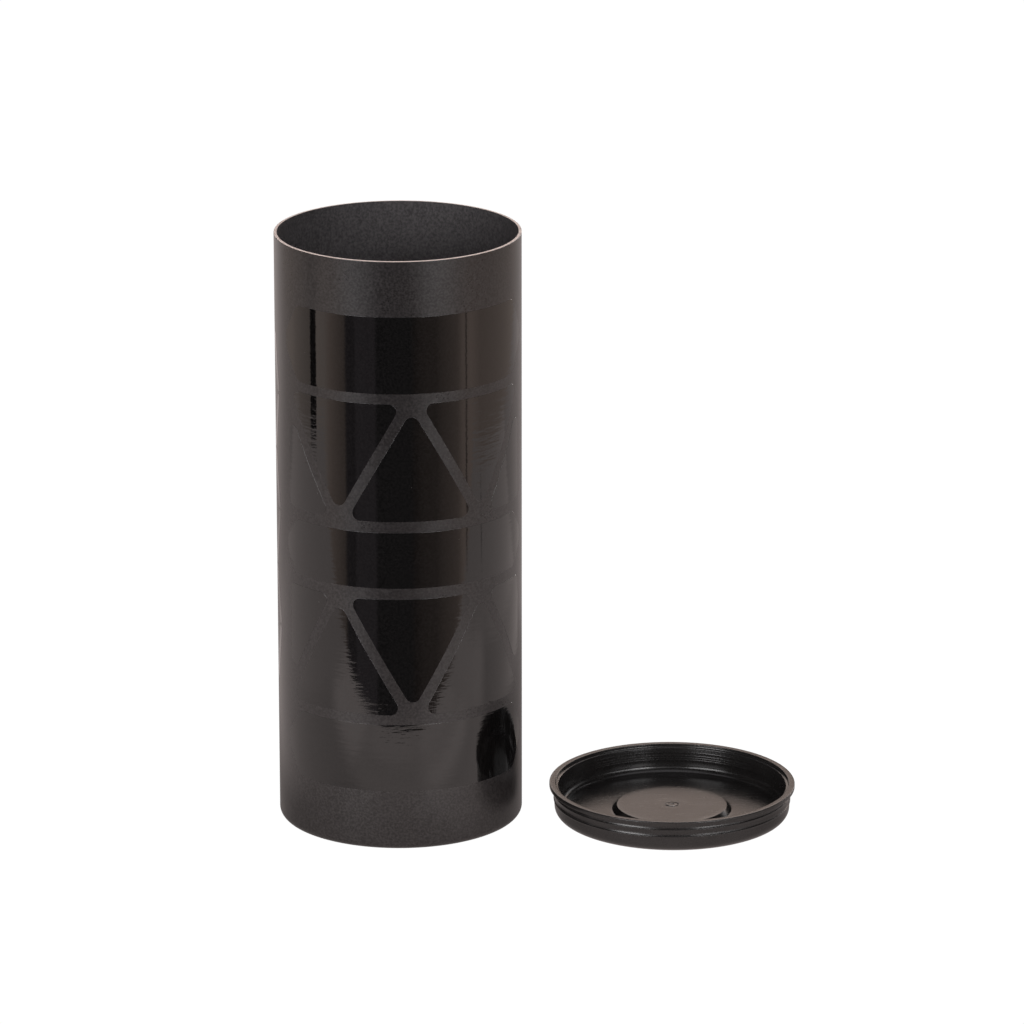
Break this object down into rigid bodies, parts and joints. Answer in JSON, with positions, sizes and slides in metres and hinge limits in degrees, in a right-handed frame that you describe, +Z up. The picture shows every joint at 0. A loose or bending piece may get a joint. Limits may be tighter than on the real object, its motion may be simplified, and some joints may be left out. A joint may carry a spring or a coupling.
{
  "type": "bottle canister",
  "caption": "Upright paper tube canister for a bottle, open at the top, with a moulded plug lid lying beside it, edge up.",
  "frame": {"origin": "centre of the canister's foot, on the surface it stands on", "axes": "+Z up along the tube, -Y towards the printed front, +X towards the lid"},
  "size_m": [0.2163, 0.11, 0.2515],
  "materials": {
    "wrap_paper": "matt laminated black paper with gloss varnish fields on the front",
    "board": "bare cut board edge, fibrous, pale pinkish brown",
    "liner_paper": "plain uncoated black paper",
    "disc_board": "black paper faced board",
    "lid_plastic": "satin black moulded polyethylene"
  },
  "bodies": {
    "tube": {"outer_wrap": "wrap_paper", "board_core": "board", "inner_liner": "liner_paper", "base_disc": "disc_board"},
    "lid": {"lid": "lid_plastic"}
  },
  "joints": [
    {"name": "lid_lift", "type": "slide", "parent": "tube", "child": "lid", "axis": [0, 0, 1], "range_m": [0, 0.28]}
  ]
}
